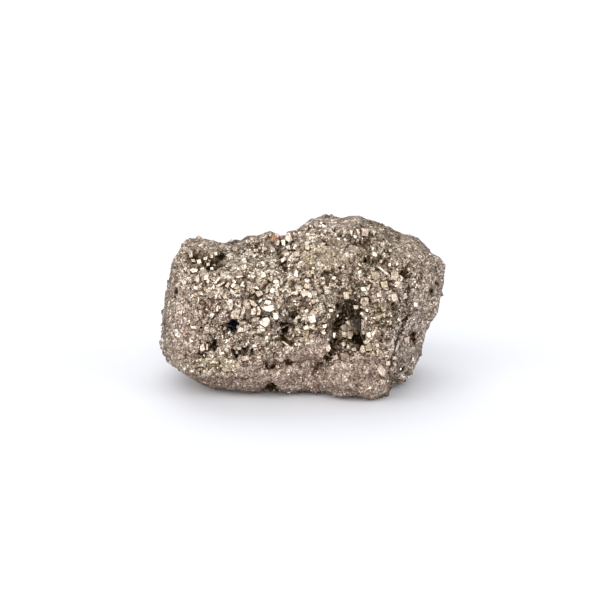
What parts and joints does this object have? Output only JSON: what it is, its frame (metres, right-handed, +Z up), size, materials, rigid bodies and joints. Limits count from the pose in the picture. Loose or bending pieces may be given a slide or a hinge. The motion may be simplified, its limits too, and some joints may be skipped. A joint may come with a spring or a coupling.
{
  "type": "pyrite specimen",
  "caption": "Rough hand-sized nugget of massive pyrite, covered in small glinting cubic crystals, with clefts, vugs and a flat underside that it rests on.",
  "frame": {"origin": "on the surface that the nugget rests on, under the middle of its bounding box", "axes": "+X along the nugget's longest side, with the high dome towards +X; -Y is the front with the large vug; +Z up"},
  "size_m": [0.06, 0.0382, 0.0356],
  "materials": {
    "pyrite": "granular, with a bright metallic lustre on the crystal faces and dull brown recesses"
  },
  "bodies": {
    "root": {"pyrite_nugget": "pyrite"}
  },
  "joints": []
}
